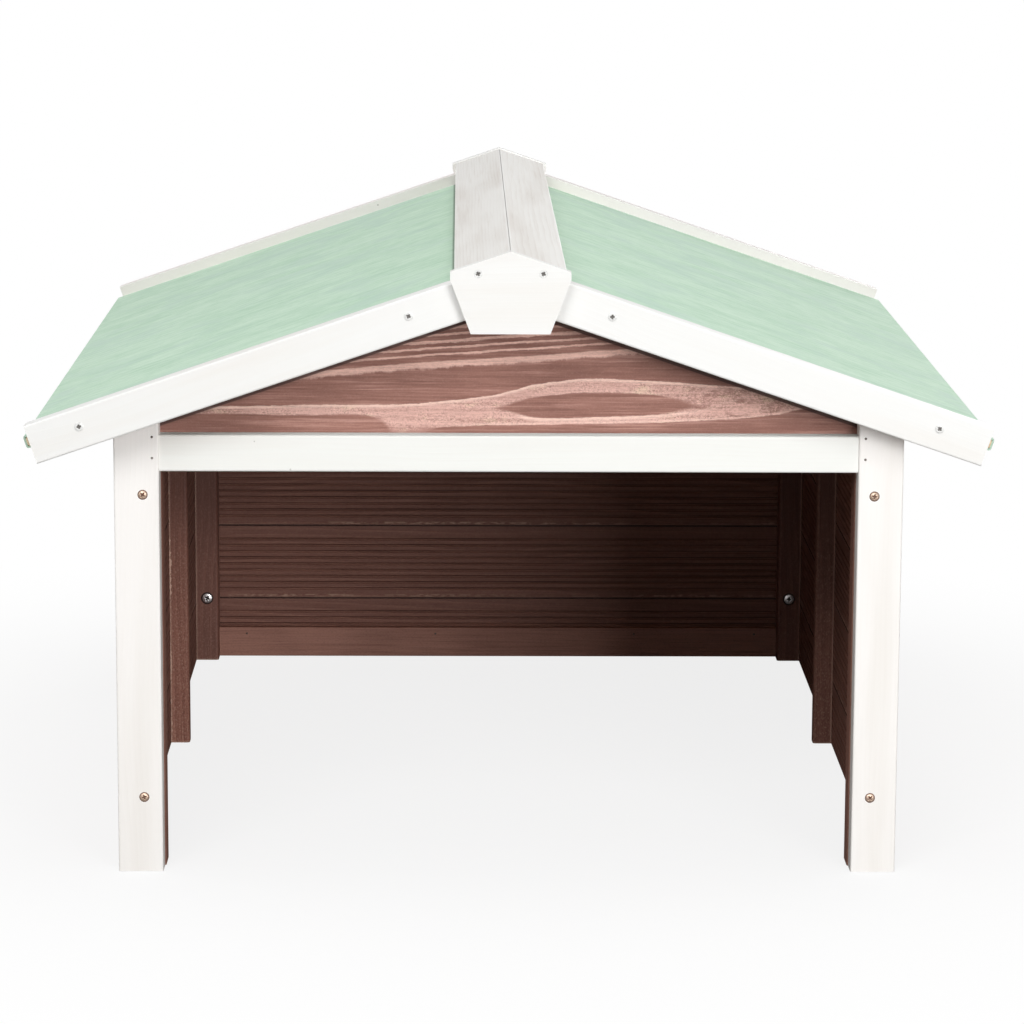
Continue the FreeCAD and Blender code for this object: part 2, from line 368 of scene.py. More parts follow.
def make_softwood_grain() -> bpy.types.NodeTree:
    """Build the grain of a sawn board: growth rings, fibres and small knots.

    Returns:
        The node group. Its vector runs along the grain on X, across the face on Y and through on Z.
    """
    effect = Effect(
        "softwood_grain",
        {
            "Vector": (VECTOR, None), "Seed": (FLOAT, 0.0),
            "Ring Width": (FLOAT, 0.006), "Waviness": (FLOAT, 0.012),
        },
        ["Late Wood", "Fibre", "Height"],
    )
    tree = effect.tree
    place = effect.read("Vector")
    seed = effect.read("Seed")
    along = tree.dot(place, (1, 0, 0))
    across = tree.dot(place, (0, 1, 0))
    through = tree.dot(place, (0, 0, 1))
    wide = tree.noise(tree.vector(along * 2.2, across * 9, through * 9 + seed * 7), 1.0, 2.0)
    close = tree.noise(tree.vector(along * 14, across * 60, through * 60 + seed * 3), 1.0, 3.0)
    bent = across + through * 0.35 + (wide - 0.5) * effect.read("Waviness") * 6 + (close - 0.5) * 0.002
    ring = (bent / effect.read("Ring Width") + seed * 5).fraction()
    patch = tree.noise(tree.vector(along * 5, across * 40, through * 40 + seed), 1.0, 2.0)
    late = ring.power(2.6) * ring.ease(0.93, 1.0, 1.0, 0.15) * patch.ease(0.25, 0.7, 0.35, 1.0)
    fibre = tree.noise(tree.vector(along * 16, across * 850, through * 850 + seed), 1.0, 3.0, 0.6)
    effect.give("Late Wood", late)
    effect.give("Fibre", fibre)
    effect.give("Height", late * 0.6 + fibre * 0.4)
    return effect.group


def make_edge_wear_and_highlight() -> bpy.types.NodeTree:
    """Build the masks of the edges, where a wide bevel would turn the surface: Edge, which the white paint
    turns into a painted highlight, and Chips, ragged worn chips.

    Returns:
        The node group.
    """
    effect = Effect(
        "edge_wear_and_highlight",
        {"Vector": (VECTOR, None), "Width": (FLOAT, 0.001), "Raggedness": (FLOAT, 0.5)},
        ["Edge", "Chips"],
    )
    tree = effect.tree
    bevel = tree.node("ShaderNodeBevel", samples=4)
    tree.feed(bevel.inputs["Radius"], effect.read("Width"))
    turned = tree.dot(Signal(tree, bevel.outputs["Normal"]), tree.normal()).inverse()
    place = effect.read("Vector")
    ragged = tree.noise(place, 240.0, 4.0, 0.65) * effect.read("Raggedness")
    effect.give("Edge", turned.ease(0.0, 0.16))
    effect.give("Chips", (turned * 4.0 + ragged * 0.5).ease(0.42, 0.56))
    return effect.group


def make_paint_film() -> bpy.types.NodeTree:
    """Build a brushed coat of paint over wood: brush marks, thin spots, specks and knots that show.

    Returns:
        The node group. Its vector runs along the brush strokes on X.
    """
    effect = Effect(
        "paint_film",
        {"Vector": (VECTOR, None), "Seed": (FLOAT, 0.0)},
        ["Tone", "Brush Marks", "Specks", "Knots"],
    )
    tree = effect.tree
    place = effect.read("Vector")
    seed = effect.read("Seed")
    along = tree.dot(place, (1, 0, 0))
    across = tree.dot(place, (0, 1, 0))
    through = tree.dot(place, (0, 0, 1))
    strokes = tree.noise(tree.vector(along * 9, across * 520, through * 520 + seed), 1.0, 3.0, 0.6)
    broad = tree.noise(tree.vector(along * 3, across * 30, through * 30 + seed * 2), 1.0, 3.0)
    scatter = tree.vector(along * 1.0 + seed, across * 1.0, through * 1.0)
    specks = tree.cells(scatter, 52.0).ease(0.030, 0.055, 1.0, 0.0)
    sparse = tree.noise(scatter, 14.0, 1.0).ease(0.55, 0.62)
    effect.give("Tone", broad)
    effect.give("Brush Marks", strokes)
    effect.give("Specks", specks * sparse)
    blurred = tree.noise(scatter, 60.0, 3.0, 0.6) * 0.06
    knots = tree.cells(tree.vector(along * 0.6 + seed * 2, across, through), 12.0) + blurred
    knots = knots.ease(0.05, 0.10, 1.0, 0.0)
    effect.give("Knots", knots * tree.noise(scatter, 7.0, 1.0).ease(0.40, 0.55))
    return effect.group


@dataclass(frozen=True)
class Effects:
    """The effects that several finishes share."""

    grain: bpy.types.NodeTree = field(default_factory=make_softwood_grain)
    wear_and_highlight: bpy.types.NodeTree = field(default_factory=make_edge_wear_and_highlight)
    film: bpy.types.NodeTree = field(default_factory=make_paint_film)


class Run(Enum):
    """Direction in which a board's grain runs."""

    ACROSS = "left to right"
    DEEP = "front to back"
    UPRIGHT = "up and down"
    DOWN_RIGHT = "down the right-hand slope"
    DOWN_LEFT = "down the left-hand slope"

    def axes(self, pitch: float) -> tuple[Vector, Vector, Vector]:
        """Give the directions along, across and through a board.

        Args:
            pitch: Slope of the roof in radians.

        Returns:
            Three unit vectors.
        """
        run, rise = math.cos(pitch), math.sin(pitch)
        ahead, upward, rightward = Vector((0, 1, 0)), Vector((0, 0, 1)), Vector((1, 0, 0))
        return {
            Run.ACROSS: (rightward, upward, ahead),
            Run.DEEP: (ahead, Vector((0.5, 0, 1)).normalized(), Vector((1, 0, -0.5)).normalized()),
            Run.UPRIGHT: (upward, rightward, ahead),
            Run.DOWN_RIGHT: (Vector((run, 0, -rise)), Vector((rise, 0, run)), ahead),
            Run.DOWN_LEFT: (Vector((-run, 0, -rise)), Vector((-rise, 0, run)), ahead),
        }[self]


def roof_pitch() -> float:
    """Slope of the roof, read from the largest flat of the right-hand felt.

    Returns:
        The angle from level, in radians.
    """
    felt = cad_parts["right_roof_felt"].data
    largest = max((face for face in felt.polygons if face.normal.z > 0.5), key=lambda face: face.area)
    return math.atan2(largest.normal.x, largest.normal.z)


@dataclass(frozen=True)
class Finish:
    """What every finish shares: its name, the run of its grain and a number that makes it differ."""

    name: str
    run: Run
    seed: float

    def start(self) -> tuple[bpy.types.Material, Tree, bpy.types.Node, Signal]:
        """Open a material with the Principled shader.

        Returns:
            The material, its tree, the shader, and the place in the board's own directions.
        """
        material = bpy.data.materials.new(self.name)
        material.use_nodes = True
        material.node_tree.nodes.clear()
        tree = Tree(material.node_tree)
        shader = tree.node("ShaderNodeBsdfPrincipled")
        output = tree.node("ShaderNodeOutputMaterial")
        material.node_tree.links.new(shader.outputs[0], output.inputs["Surface"])
        place = tree.position()
        along, across, through = (tuple(axis) for axis in self.run.axes(roof_pitch()))
        board = tree.vector(tree.dot(place, along), tree.dot(place, across), tree.dot(place, through))
        return material, tree, shader, board


@dataclass(frozen=True)
class WhitePaint(Finish):
    """Opaque white paint, brushed along a planed board."""

    colour: Colour = screen_colour(250, 249, 246)
    thin_colour: Colour = screen_colour(238, 233, 226)
    edge_highlight_colour: Colour = screen_colour(252, 251, 249)
    speck_colour: Colour = screen_colour(150, 145, 138)
    print_through: float = 0.10
    grain_width: float = 0.004
    waviness: float = 0.012
    edge_highlight_width: float = 0.0012
    soft_top: float = 0.0

    def build(self, effects: Effects) -> bpy.types.Material:
        """Make the material.

        Args:
            effects: The shared node groups.

        Returns:
            The material.
        """
        material, tree, shader, board = self.start()
        grain = tree.effect(
            effects.grain, Vector=board, Seed=self.seed, Ring_Width=self.grain_width, Waviness=self.waviness,
        )
        film = tree.effect(effects.film, Vector=board, Seed=self.seed)
        wear_and_highlight = tree.effect(effects.wear_and_highlight, Vector=board, Width=self.edge_highlight_width, Raggedness=0.6)
        thin = film["Tone"].ease(0.42, 0.75) * 0.5 + grain["Late Wood"] * self.print_through
        thin = thin + film["Brush Marks"].ease(0.5, 0.8) * self.print_through
        body = tree.mix(thin.least(1.0), self.colour, self.thin_colour)
        # Painted highlight: the edges are mixed towards a lighter white, where light would catch the rounded
        # arrises.
        body = tree.mix(wear_and_highlight["Edge"] * 0.8, body, self.edge_highlight_colour)
        body = tree.mix(film["Specks"] * 0.55, body, self.speck_colour)
        body = tree.mix(film["Knots"] * 0.14, body, self.speck_colour)
        tree.feed(shader.inputs["Base Color"], body)
        tree.feed(shader.inputs["Roughness"], film["Brush Marks"].ease(0.2, 0.8, 0.48, 0.62))
        relief = film["Brush Marks"] * 0.5 + grain["Height"] * 0.5 - film["Specks"] * 1.2
        surface = tree.bump(relief, 0.00012)
        if self.soft_top:
            upward = tree.dot(tree.normal(), (0, 0, 1)).ease(0.5, 0.9) * self.soft_top
            surface = tree.mix(upward, surface, tree.vector(0.0, -1.0, 0.3))
        tree.feed(shader.inputs["Normal"], surface)
        return material


@dataclass(frozen=True)
class BrownStain(Finish):
    """Red-brown translucent stain on sawn softwood, with paler late wood and chafed edges."""

    early_colour: Colour = screen_colour(136, 92, 79)
    late_colour: Colour = screen_colour(169, 120, 104)
    dark_colour: Colour = screen_colour(97, 60, 50)
    chafed_colour: Colour = screen_colour(196, 158, 138)
    ring_width: float = 0.007
    cover: float = 0.0
    starter: float = 0.0
    chafing: float = 0.5
    wear_width: float = 0.0011
    sawn: float = 0.22
    frayed_arris: tuple[float, float] | None = None
    painted_top_shade: tuple[float, float, float] | None = None

    def build(self, effects: Effects) -> bpy.types.Material:
        """Make the material.

        Args:
            effects: The shared node groups.

        Returns:
            The material.
        """
        material, tree, shader, board = self.start()
        number: Signal | float = self.seed
        tint: Signal | float = 0.3
        if self.cover:
            height = tree.dot(tree.position(), (0, 0, 1))
            course = ((height - self.starter) / self.cover).floor() + self.seed * 13
            number = tree.random(course) * 9
            tint = tree.random(course + 40) * 0.6
        grain = tree.effect(effects.grain, Vector=board, Seed=number, Ring_Width=self.ring_width)
        wear_and_highlight = tree.effect(effects.wear_and_highlight, Vector=board, Width=self.wear_width, Raggedness=self.chafing)
        blotch = tree.noise(board, 9.0, 3.0, 0.55).ease(0.3, 0.75)
        body = tree.mix(grain["Late Wood"] * 0.75, self.early_colour, self.late_colour)
        body = tree.mix(grain["Fibre"].ease(0.45, 0.75) * 0.35, body, self.dark_colour)
        body = tree.mix(blotch * tint, body, self.dark_colour)
        rough = tree.noise(tree.vector(tree.dot(board, (520, 0, 0)), tree.dot(board, (0, 760, 0)),
                                       tree.dot(board, (0, 0, 760)) + self.seed), 1.0, 2.0, 0.75)
        body = tree.mix(rough.ease(0.52, 0.66) * self.sawn, body, self.dark_colour)
        body = tree.mix(rough.ease(0.32, 0.46, 1.0, 0.0) * self.sawn * 0.55, body, self.chafed_colour)
        # Painted shade: the stain is darkened towards the top of the board, as the roof shades it.
        if self.painted_top_shade:
            height = tree.dot(tree.position(), (0, 0, 1))
            foot, top, depth = self.painted_top_shade
            body = tree.mix(height.ease(foot, top, 0.0, depth), body, self.dark_colour)
        body = tree.mix(wear_and_highlight["Chips"] * self.chafing, body, self.chafed_colour)
        if self.cover:
            body = self.mill(tree, board, body)
        if self.frayed_arris:
            body = self.fray(tree, body)
        tree.feed(shader.inputs["Base Color"], body)
        tree.feed(shader.inputs["Roughness"], grain["Fibre"].ease(0.2, 0.8, 0.55, 0.75))
        tree.feed(shader.inputs["Normal"], tree.bump(grain["Height"], 0.0003))
        return material

    def fray(self, tree: Tree, body: Signal) -> Signal:
        """Show bare wood where the saw tore one upright arris.

        Args:
            tree: The material's tree.
            body: Colour so far.

        Returns:
            The colour with the torn arris.
        """
        place = tree.position()
        away_x = (tree.dot(place, (1, 0, 0)).absolute() - self.frayed_arris[0]).absolute()
        away_y = (tree.dot(place, (0, 1, 0)) - self.frayed_arris[1]).absolute()
        height = tree.dot(place, (0, 0, 1))
        torn = tree.noise(tree.vector(self.seed, 0.0, height * 160), 1.0, 4.0, 0.7)
        long = tree.noise(tree.vector(self.seed, 5.0, height * 16), 1.0, 2.0)
        reach = torn.ease(0.30, 0.70, -0.0005, 0.0019) + long.ease(0.35, 0.65, -0.0006, 0.0010)
        bare = (reach - away_x.most(away_y)).ease(0.0, 0.0005)
        return tree.mix(bare * long.ease(0.3, 0.7, 0.55, 0.95), body, self.chafed_colour)

    def mill(self, tree: Tree, board: Signal, body: Signal) -> Signal:
        """Darken the milled reeds, where stain pools and painted shade falls on the downward flanks, paint a
        shadow just below each joint, and fray the board's edge over each joint.

        Args:
            tree: The material's tree.
            board: Place in the board's own directions.
            body: Colour so far.

        Returns:
            The colour with the milling shown.
        """
        height = tree.dot(tree.position(), (0, 0, 1))
        over = ((height - self.starter) / self.cover).fraction() * self.cover
        # Painted shade: the reeds' downward flanks are darker than their upward ones, over the stain that pools
        # in both, and a painted shadow lies just below each joint.
        lean = tree.dot(tree.normal(), (0, 0, 1))
        flank = lean.absolute().ease(0.25, 0.55) * lean.absolute().ease(0.90, 0.98, 1.0, 0.0)
        worn = tree.noise(tree.vector(tree.dot(board, (6, 0, 0)), height * 90, self.seed), 1.0, 2.0)
        pooled_stain_and_shade = flank * lean.ease(-0.2, 0.3, 0.55, 0.12) * worn.ease(0.35, 0.65, 0.35, 1.0)
        joint_shadow = over.ease(self.cover - 0.0022, self.cover - 0.0010) * 0.80
        body = tree.mix(pooled_stain_and_shade.most(joint_shadow), body, self.dark_colour, "MULTIPLY")
        along = tree.dot(board, (1, 0, 0))
        dashes = tree.noise(tree.vector(along * 150, over * 500, self.seed), 1.0, 3.0, 0.6).ease(0.44, 0.60)
        patchy = tree.noise(tree.vector(along * 9, self.seed, height * 12), 1.0, 1.0)
        patchy = patchy.ease(0.40, 0.58, 0.15, 1.0)
        frayed = over.ease(0.0004, 0.0009) * over.ease(0.0022, 0.0034, 1.0, 0.0)
        return tree.mix(frayed * dashes * patchy * 0.75, body, self.chafed_colour)


@dataclass(frozen=True)
class GableGrain(Finish):
    """The flat-sawn front gable board: growth lines over one long dark eye in a pale band.

    The curves are (place from left to right, height) in millimetres on the board's face.
    """

    early_colour: Colour = screen_colour(173, 124, 110)
    dark_colour: Colour = screen_colour(117, 75, 64)
    pale_colour: Colour = screen_colour(227, 182, 170)
    bright_colour: Colour = screen_colour(253, 217, 202)
    cream_colour: Colour = screen_colour(240, 216, 184)
    line_colour: Colour = screen_colour(255, 210, 195)
    shade_colour: Colour = screen_colour(62, 34, 28)
    band_top: tuple[tuple[float, float], ...] = (
        (-290, 354.5), (-204, 357.5), (-152, 358.1), (-85, 359.1), (-47, 362.3), (-18, 365.8),
        (5, 371.2), (35, 377.1), (64, 379.0), (90, 378.3), (120, 377.2), (150, 374.6),
        (184, 371.6), (221, 364.8), (237, 358.0), (290, 348.0),
    )
    band_foot: tuple[tuple[float, float], ...] = (
        (-290, 351.5), (-204, 351.6), (-152, 350.4), (-118, 351.1), (-102, 349.4), (-92, 344.5),
        (-82, 338.2), (-62, 340.9), (-25, 343.6), (12, 343.9), (72, 345.0), (146, 347.6),
        (200, 351.6), (237, 357.0), (290, 358.0),
    )
    eye_top: tuple[tuple[float, float], ...] = (
        (-16, 356.2), (0, 361.5), (26, 366.2), (60, 368.7),
        (96, 368.2), (122, 366.0), (140, 362.3), (152, 358.0),
    )
    eye_foot: tuple[tuple[float, float], ...] = (
        (-16, 356.0), (4, 351.8), (34, 348.6), (66, 349.6),
        (98, 351.1), (124, 353.2), (142, 355.4), (152, 357.8),
    )
    growth_lines: tuple[tuple[float, float], ...] = (
        (0.0, 2.0), (7.2, 0.7), (12.2, 0.7), (17.2, 1.0), (22.4, 0.7), (27.5, 1.1), (34.0, 0.8),
    )

    def pale_masks(self, tree: Tree, x: Signal, z: Signal) -> tuple[Signal, Signal]:
        """Masks of the pale wood.

        Args:
            tree: The material's tree.
            x: Place from left to right, in millimetres.
            z: Height in millimetres.

        Returns:
            The pale band with its eye left out, and the bright line along its edges.
        """
        over = tree.curve(x, self.band_top) - z
        under = z - tree.curve(x, self.band_foot)
        foot = z - tree.curve(x, self.eye_foot)
        eye = (tree.curve(x, self.eye_top) - z).least(foot)
        ends = x.ease(-17, -8) * x.ease(140, 156, 1.0, 0.0)
        blur = x.ease(-16, 22, 4.5, 0.8).most(x.ease(108, 150, 0.8, 6.0))
        torn_end = x.ease(-108, -86, 0.6, 5.0) * x.ease(-70, -52, 1.0, 0.12)
        beside_eye = (eye.ease(-0.4, blur) * ends).inverse()
        band = over.ease(-0.3, 0.5) * under.ease(torn_end * -1.0, torn_end) * beside_eye
        crest = over.ease(-0.2, 0.5) * over.ease(0.8, 3.0, 1.0, 0.0)
        rim = foot.ease(-3.2, -0.5) * foot.ease(-0.2, 0.5, 1.0, 0.0)
        rim = rim * x.ease(2, 14) * x.ease(120, 150, 1.0, 0.3)
        sill = under.ease(-0.3, 0.4) * under.ease(0.6, 2.4, 1.0, 0.0) * x.ease(-60, -20, 0.0, 0.55)
        return band, (crest.most(rim).most(sill) * band).least(1.0)

    def line_mask(self, tree: Tree, x: Signal, z: Signal, width: Signal) -> Signal:
        """Mask of the long growth lines that lie over the band, rising a little to the right.

        Args:
            tree: The material's tree.
            x: Place from left to right, in millimetres.
            z: Height in millimetres.
            width: Random share by which a line is wider or narrower.

        Returns:
            1 on a line, 0 elsewhere.
        """
        level = z - x * 0.065 - 394.2 + x.least(0.0) * x.least(0.0) * 0.00012
        mask: Signal | None = None
        for height, half_width in self.growth_lines:
            off = level - height
            line = off.ease(half_width * 0.5, half_width * 1.1, 1.0, 0.0)
            line = line * off.ease(width * (half_width * -2.0), width * (half_width * -0.9))
            mask = line if mask is None else mask.most(line)
        return mask

    def eave_height(self) -> float:
        """Height in millimetres where the front barge boards' lower edges would meet."""
        low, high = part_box("right_front_barge_board")
        pitch = roof_pitch()
        rise, run = math.sin(pitch), math.cos(pitch)
        width = ((high.z - low.z) * run - (high.x - low.x) * rise) / math.cos(2 * pitch)
        return 1000 * (high.z + (low.x + width * rise) * math.tan(pitch) - width / run)

    def build(self, effects: Effects) -> bpy.types.Material:
        """Make the material.

        Args:
            effects: The shared node groups.

        Returns:
            The material.
        """
        material, tree, shader, board = self.start()
        x = tree.dot(board, (1000, 0, 0))
        z = tree.dot(board, (0, 1000, 0))
        sway = tree.noise(tree.vector(x * 0.012, z * 0.03, self.seed), 1.0, 2.0)
        fray = tree.noise(tree.vector(x * 0.13, z * 0.5, self.seed), 1.0, 5.0, 0.7)
        bent = z + (sway - 0.5) * 3.0 + (fray - 0.5) * 2.2
        uneven = tree.noise(tree.vector(x * 0.09, z * 0.05, self.seed + 3), 1.0, 4.0, 0.7)
        uneven = uneven.ease(0.3, 0.7, 0.75, 1.35)
        band, bright = self.pale_masks(tree, x, bent)
        lines = self.line_mask(tree, x, bent, uneven)
        threads = tree.noise(tree.vector(x * 0.012, z * 0.42, self.seed), 1.0, 5.0, 0.68)
        hairs = tree.noise(tree.vector(x * 0.05, z * 1.9, self.seed), 1.0, 3.0, 0.65)
        pores = tree.noise(tree.vector(x * 0.42, z * 0.95, self.seed), 1.0, 3.0, 0.75)
        grit = tree.noise(tree.vector(x * 0.75, z * 0.85, self.seed + 9), 1.0, 2.0, 0.8)
        blotch = tree.noise(tree.vector(x * 0.014, z * 0.035, self.seed + 6), 1.0, 4.0, 0.62)
        curls = tree.noise(tree.vector(x * 0.07, z * 0.12, self.seed), 1.0, 4.0, 0.65, 1.6)
        knotty = x.ease(100, 150) * x.ease(212, 238, 1.0, 0.0) * curls.ease(0.46, 0.62)
        patch = tree.noise(tree.vector(x * 0.04, z * 0.08, self.seed + 4), 1.0, 3.0, 0.6)
        creamy = band * patch.ease(0.56, 0.70)
        pitted = patch.ease(0.40, 0.58)
        wear_and_highlight = tree.effect(effects.wear_and_highlight, Vector=board, Width=0.001, Raggedness=0.4)
        body = tree.mix(threads.ease(0.35, 0.68) * 0.60, self.early_colour, self.dark_colour)
        body = tree.mix(blotch.ease(0.42, 0.72) * 0.45, body, self.dark_colour)
        body = tree.mix(threads.ease(0.30, 0.48, 0.30, 0.0), body, self.pale_colour)
        share = threads.ease(0.36, 0.70, 1.0, 0.62) - knotty * 0.42 + pores.ease(0.40, 0.62, -0.16, 0.14)
        body = tree.mix((band * share).most(0.0).least(1.0), body, self.pale_colour)
        body = tree.mix(creamy * 0.45, body, self.cream_colour)
        body = tree.mix(grit.ease(0.54, 0.66) * (band * pitted * 0.36 + 0.14), body, self.dark_colour)
        lit = grit.ease(0.34, 0.46, 1.0, 0.0) * (band * (pitted * 0.4 + 0.12) + 0.05)
        body = tree.mix(lit, body, self.bright_colour)
        broken = pores.ease(0.30, 0.60, 0.72, 1.0) * threads.ease(0.25, 0.75, 1.0, 0.75)
        glint = bright * broken
        body = tree.mix(glint * 0.95 * knotty.ease(0.0, 1.0, 1.0, 0.4), body, self.bright_colour)
        body = tree.mix(lines * broken * 0.95, body, self.line_colour)
        body = tree.mix(hairs.ease(0.50, 0.74) * 0.38, body, self.dark_colour)
        body = tree.mix(wear_and_highlight["Chips"] * 0.4, body, self.bright_colour)
        # Painted shadow under the front barge boards: dark up to about 9 mm below their lower edges' line, then
        # a faint band that fades out.
        under_eave = x.absolute() * -math.tan(roof_pitch()) - z + self.eave_height()
        shaded = under_eave.ease(8.2, 9.2, 0.92, 0.24) * under_eave.ease(9.2, 12.5, 1.0, 0.0)
        body = tree.mix(shaded, body, self.shade_colour)
        # Painted shade, darker towards the foot of the board just over the header.
        body = tree.mix(z.ease(337.0, 344.0, 0.35, 0.0), body, self.dark_colour)
        tree.feed(shader.inputs["Base Color"], body)
        tree.feed(shader.inputs["Roughness"], threads.ease(0.2, 0.8, 0.52, 0.70))
        relief = glint.most(lines) * 0.3 + threads * 0.45 + hairs * 0.35 + pores * 0.15
        tree.feed(shader.inputs["Normal"], tree.bump(relief, 0.00040))
        return material


@dataclass(frozen=True)
class BareWood(Finish):
    """Unfinished pale softwood, as the roof boards are."""

    early_colour: Colour = screen_colour(248, 226, 190)
    late_colour: Colour = screen_colour(224, 187, 142)
    ring_width: float = 0.009

    def build(self, effects: Effects) -> bpy.types.Material:
        """Make the material.

        Args:
            effects: The shared node groups.

        Returns:
            The material.
        """
        material, tree, shader, board = self.start()
        grain = tree.effect(
            effects.grain, Vector=board, Seed=self.seed, Ring_Width=self.ring_width, Waviness=0.03,
        )
        blotch = tree.noise(board, 6.0, 3.0)
        body = tree.mix(grain["Late Wood"] * 0.8, self.early_colour, self.late_colour)
        body = tree.mix(grain["Fibre"].ease(0.5, 0.8) * 0.25, body, self.late_colour)
        body = tree.mix(blotch.ease(0.5, 0.8) * 0.25, body, self.late_colour)
        tree.feed(shader.inputs["Base Color"], body)
        tree.feed(shader.inputs["Roughness"], grain["Fibre"].ease(0.2, 0.8, 0.6, 0.8))
        tree.feed(shader.inputs["Normal"], tree.bump(grain["Height"], 0.0003))
        return material


@dataclass(frozen=True)
class RoofFelt(Finish):
    """Pale green roofing felt with fine mineral chips, faint drawn streaks and softly mottled colour."""

    colour: Colour = screen_colour(217, 242, 221)
    shade_colour: Colour = screen_colour(186, 221, 194)
    chip_colour: Colour = screen_colour(231, 245, 232)
    cool_colour: Colour = screen_colour(196, 222, 208)
    cap_shadow_colour: Colour = screen_colour(92, 104, 92)
    cap_shadow_depth: float = 0.0

    def build(self, effects: Effects) -> bpy.types.Material:
        """Make the material.

        Args:
            effects: The shared node groups.

        Returns:
            The material.
        """
        material, tree, shader, board = self.start()
        down = tree.dot(board, (1, 0, 0))
        out = tree.dot(board, (0, 1, 0))
        deep = tree.dot(board, (0, 0, 1))
        slanted = deep + down * 0.10
        streaks = tree.noise(tree.vector(down * 9, slanted * 170, out * 20 + self.seed), 1.0, 4.0, 0.62)
        drawn = tree.noise(tree.vector(down * 2, slanted * 34, out * 20 + self.seed), 1.0, 2.0)
        mottle = tree.noise(board, 26.0, 4.0, 0.6)
        chips = tree.cells(board, 1050.0)
        sparkle = tree.noise(board, 900.0, 2.0, 0.6)
        grit = tree.noise(tree.vector(down * 130, slanted * 330, out * 330), 1.0, 3.0, 0.65)
        wear_and_highlight = tree.effect(effects.wear_and_highlight, Vector=board, Width=0.0012, Raggedness=0.5)
        share = streaks.ease(0.42, 0.64) * 0.36 + mottle.ease(0.35, 0.66) * 0.32
        share = share + drawn.ease(0.45, 0.7) * 0.12 + grit.ease(0.38, 0.66) * 0.34
        body = tree.mix(share.least(1.0), self.colour, self.shade_colour)
        body = tree.mix(sparkle.ease(0.56, 0.74) * 0.30, body, self.chip_colour)
        body = tree.mix(wear_and_highlight["Edge"] * 0.20, body, self.chip_colour)
        cool = tree.noise(board, 11.0, 4.0, 0.6, 0.6).ease(0.46, 0.66) * 0.5
        body = tree.mix(cool, body, self.cool_colour)
        # Painted shadow on the felt along the ridge cap's edge, which the roof gives the left slope only.
        if self.cap_shadow_depth:
            _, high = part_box("right_ridge_cap_board")
            beyond = tree.dot(tree.position(), (1, 0, 0)).absolute() - high.x
            body = tree.mix(beyond.ease(0.0008, 0.0026, self.cap_shadow_depth, 0.0), body, self.cap_shadow_colour)
        tree.feed(shader.inputs["Base Color"], body)
        tree.feed(shader.inputs["Roughness"], sparkle.ease(0.3, 0.7, 0.78, 0.92))
        relief = chips * 0.55 + streaks * 0.35 + sparkle * 0.3
        tree.feed(shader.inputs["Normal"], tree.bump(relief, 0.00022))
        return material


@dataclass(frozen=True)
class Metal(Finish):
    """Plated or bare metal of a screw or nail, mottled duller, with painted shade in the hollows and cross
    recess of its head.
    """

    colour: Colour = screen_colour(205, 203, 198)
    dull_and_shade_colour: Colour = screen_colour(96, 90, 84)
    roughness: float = 0.32
    metallic: float = 0.7

    def build(self, effects: Effects) -> bpy.types.Material:
        """Make the material.

        Args:
            effects: The shared node groups.

        Returns:
            The material.
        """
        material, tree, shader, board = self.start()
        wear_and_highlight = tree.effect(effects.wear_and_highlight, Vector=board, Width=0.0004, Raggedness=0.5)
        cloud = tree.noise(board, 900.0, 3.0, 0.6)
        shade = tree.node("ShaderNodeAmbientOcclusion", samples=4)
        shade.inputs["Distance"].default_value = 0.0014
        hollow_shade = Signal(tree, shade.outputs["AO"])
        body = tree.mix(cloud.ease(0.45, 0.75) * 0.4, self.colour, self.dull_and_shade_colour)
        body = tree.mix(wear_and_highlight["Edge"] * 0.25, body, self.colour)
        mark = tree.node("ShaderNodeAttribute", attribute_name="recess")
        recess = Signal(tree, mark.outputs["Fac"]).ease(0.15, 0.6)
        # Painted shade: what the occlusion node finds hollow, and the cross recess, are darkened towards the
        # dull colour.
        body = tree.mix(hollow_shade.ease(0.30, 0.80, 0.9, 0.0).most(recess), body, self.dull_and_shade_colour)
        tree.feed(shader.inputs["Base Color"], body)
        tree.feed(shader.inputs["Metallic"], recess.inverse() * self.metallic)
        tree.feed(shader.inputs["Roughness"], cloud.ease(0.3, 0.7, self.roughness, self.roughness + 0.2))
        tree.feed(shader.inputs["Normal"], tree.bump(cloud, 0.00003))
        return material


